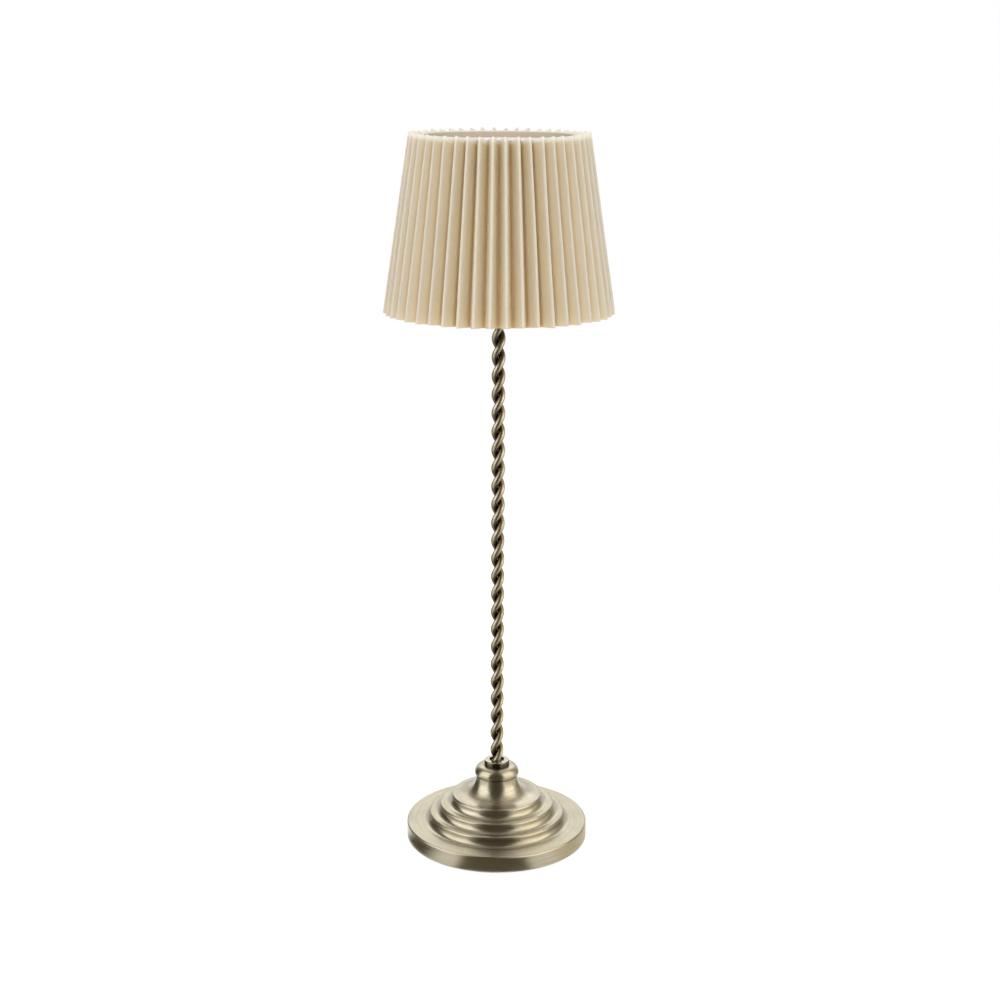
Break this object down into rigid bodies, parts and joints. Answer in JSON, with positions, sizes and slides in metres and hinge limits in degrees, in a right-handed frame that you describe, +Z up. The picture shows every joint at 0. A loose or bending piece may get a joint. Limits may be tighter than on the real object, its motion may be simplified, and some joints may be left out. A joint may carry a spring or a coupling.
{
  "type": "candle lamp with shade",
  "caption": "Slim table candle lamp: stepped round base, twisted stem, candle cup with a battery tealight and a pleated drum shade that lifts off its carrier.",
  "frame": {"origin": "centre of the base pad's underside, on the table", "axes": "+Z up along the stem, -Y towards the viewer of the picture, +X to the viewer's right"},
  "size_m": [0.1206, 0.1204, 0.3873],
  "materials": {
    "brass_brushed": "lathe-brushed champagne brass",
    "brass_antique": "antique brass with dark crevices",
    "collar_polished": "polished",
    "steel_plain": "zinc plated",
    "iron_weight": "rough cast",
    "felt_pad": "felt",
    "shade_cloth": "matte pleated cloth",
    "shade_lining": "smooth matte lining",
    "binding_tape": "matte tape",
    "ring_wire": "white enamel",
    "wax_plastic": "wax-like satin",
    "flame_plastic": "translucent satin",
    "board_green": "solder resist",
    "led_epoxy": "clear epoxy",
    "cell_steel": "nickel plated",
    "contact_metal": "plain spring strip",
    "switch_black": "moulded"
  },
  "bodies": {
    "lamp": {"base_shell": "brass_brushed", "base_pad": "felt_pad", "base_weight": "iron_weight", "stem_washer": "steel_plain", "stem_nut": "steel_plain", "stem_stud": "steel_plain", "stem_strand_front": "brass_antique", "stem_strand_back": "brass_antique", "stem_collar": "collar_polished", "stem_ferrule": "brass_brushed", "drip_pan": "brass_brushed", "candle_cup": "brass_brushed", "cup_screw": "steel_plain"},
    "carrier": {"carrier_foot": "brass_antique", "carrier_legs": "brass_antique", "carrier_ring": "brass_antique"},
    "shade": {"shade_fitter": "ring_wire", "shade_top_ring": "ring_wire", "shade_bottom_ring": "ring_wire", "shade_spokes": "ring_wire", "shade_liner": "shade_lining", "shade_top_binding": "binding_tape", "shade_pleats": "shade_cloth"},
    "tealight": {"tealight_case": "wax_plastic", "tealight_plate": "wax_plastic", "plate_screws": "steel_plain", "coin_cell": "cell_steel", "cell_spring": "contact_metal", "cell_side_contact": "contact_metal", "led_board": "board_green", "led": "led_epoxy", "flame_lens": "flame_plastic"},
    "battery_door": {"battery_cap": "wax_plastic"},
    "switch_slider": {"power_switch": "switch_black"}
  },
  "joints": [
    {"name": "carrier_turn", "type": "hinge", "parent": "lamp", "child": "carrier", "pos_m": [0, 0, 0.311], "axis": [0, 0, 1], "continuous": true},
    {"name": "shade_lift", "type": "slide", "parent": "carrier", "child": "shade", "axis": [0, 0, 1], "range_m": [0, 0.065]},
    {"name": "tealight_lift", "type": "slide", "parent": "lamp", "child": "tealight", "axis": [0, 0, 1], "range_m": [0, 0.08]},
    {"name": "battery_cap_turn", "type": "hinge", "parent": "tealight", "child": "battery_door", "pos_m": [-0.003, 0, 0.314], "axis": [0, 0, 1], "range_deg": [0, 45]},
    {"name": "power_switch_slide", "type": "slide", "parent": "tealight", "child": "switch_slider", "axis": [0, 1, 0], "range_m": [0, 0.0025]}
  ]
}
